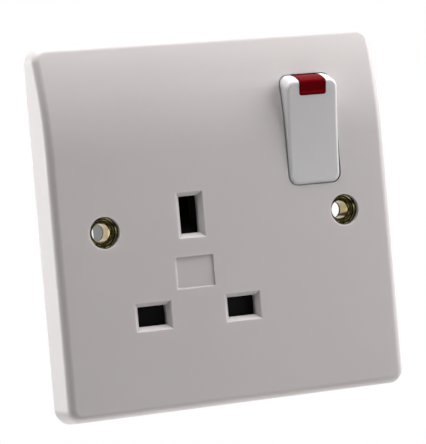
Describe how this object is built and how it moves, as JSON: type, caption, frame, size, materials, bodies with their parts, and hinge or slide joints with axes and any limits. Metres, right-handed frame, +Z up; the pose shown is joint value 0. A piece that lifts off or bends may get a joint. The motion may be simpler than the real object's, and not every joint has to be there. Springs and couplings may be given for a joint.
{
  "type": "switched wall socket",
  "caption": "Square switched wall socket: crowned white plate with flat pin openings, shutter, brass fixing bushes, rocker switch with a red neon window, and rear housing.",
  "frame": {"origin": "centre of the plate on the wall plane, midway between the two fixing holes", "axes": "+X to the right and +Z up as seen by someone facing the wall, +Y into the wall; the front of the plate looks along -Y"},
  "size_m": [0.086, 0.0285, 0.086],
  "materials": {
    "white_plastic": "smooth moulded, soft gloss",
    "red_lens": "clear red, polished",
    "lamp_glass": "clear glass",
    "resistor_body": "painted",
    "tinned_wire": "tinned",
    "bush_brass": "aged",
    "terminal_brass": "machined",
    "strip_brass": "rolled strip",
    "phosphor_bronze": "rolled spring strip",
    "plated_strap": "zinc plated",
    "plated_steel": "zinc plated",
    "contact_silver": "silver faced",
    "spring_steel": "drawn wire",
    "plunger_nylon": "natural nylon",
    "shutter_plastic": "smooth moulded",
    "housing_plastic": "moulded, fine texture"
  },
  "bodies": {
    "socket": {"front_plate": "white_plastic", "rear_housing": "housing_plastic", "left_bush": "bush_brass", "right_bush": "bush_brass", "earth_strap": "plated_strap", "earth_clip": "phosphor_bronze", "earth_link": "plated_strap", "earth_terminal": "terminal_brass", "line_terminal": "terminal_brass", "neutral_terminal": "terminal_brass", "terminal_screws": "plated_steel", "housing_screws": "plated_steel", "line_terminal_plate": "strip_brass", "neutral_terminal_plate": "strip_brass", "fixed_contacts": "contact_silver", "line_busbar": "strip_brass", "neutral_busbar": "strip_brass", "line_pin_clip": "phosphor_bronze", "neutral_pin_clip": "phosphor_bronze", "neon_lamp": "lamp_glass", "neon_resistor": "resistor_body", "neon_leads": "tinned_wire", "shutter_spring": "spring_steel"},
    "rocker_assembly": {"rocker": "white_plastic", "neon_lens": "red_lens", "line_plunger_spring": "spring_steel", "neutral_plunger_spring": "spring_steel"},
    "line_plunger_body": {"line_plunger": "plunger_nylon"},
    "neutral_plunger_body": {"neutral_plunger": "plunger_nylon"},
    "line_arm": {"line_contact_arm": "strip_brass", "line_arm_contact": "contact_silver"},
    "neutral_arm": {"neutral_contact_arm": "strip_brass", "neutral_arm_contact": "contact_silver"},
    "shutter_body": {"shutter": "shutter_plastic"}
  },
  "joints": [
    {"name": "rocker_tilt", "type": "hinge", "parent": "socket", "child": "rocker_assembly", "pos_m": [0.02315, -0.0048, 0.01945], "axis": [1, 0, 0], "range_deg": [-16, 0]},
    {"name": "line_plunger_slide", "type": "slide", "parent": "rocker_assembly", "child": "line_plunger_body", "axis": [0, -0.9903, -0.1392], "range_m": [0, 0.0006], "stiffness_N_per_m": 800, "springref_m": -0.002, "deforming": ["line_plunger_spring"]},
    {"name": "neutral_plunger_slide", "type": "slide", "parent": "rocker_assembly", "child": "neutral_plunger_body", "axis": [0, -0.9903, -0.1392], "range_m": [0, 0.0006], "stiffness_N_per_m": 800, "springref_m": -0.002, "deforming": ["neutral_plunger_spring"]},
    {"name": "line_arm_tilt", "type": "hinge", "parent": "socket", "child": "line_arm", "pos_m": [0.02645, 0.0046, 0.01945], "axis": [1, 0, 0], "range_deg": [0, 20]},
    {"name": "neutral_arm_tilt", "type": "hinge", "parent": "socket", "child": "neutral_arm", "pos_m": [0.01985, 0.0046, 0.01945], "axis": [1, 0, 0], "range_deg": [0, 20]},
    {"name": "shutter_slide", "type": "slide", "parent": "socket", "child": "shutter_body", "axis": [0, 0, -1], "range_m": [0, 0.0063], "stiffness_N_per_m": 60, "springref_m": -0.004, "deforming": ["shutter_spring"]}
  ],
  "couplings": [
    {"joint": "line_arm_tilt", "follows": "rocker_tilt", "ratio": -1.25},
    {"joint": "neutral_arm_tilt", "follows": "rocker_tilt", "ratio": -1.25}
  ]
}
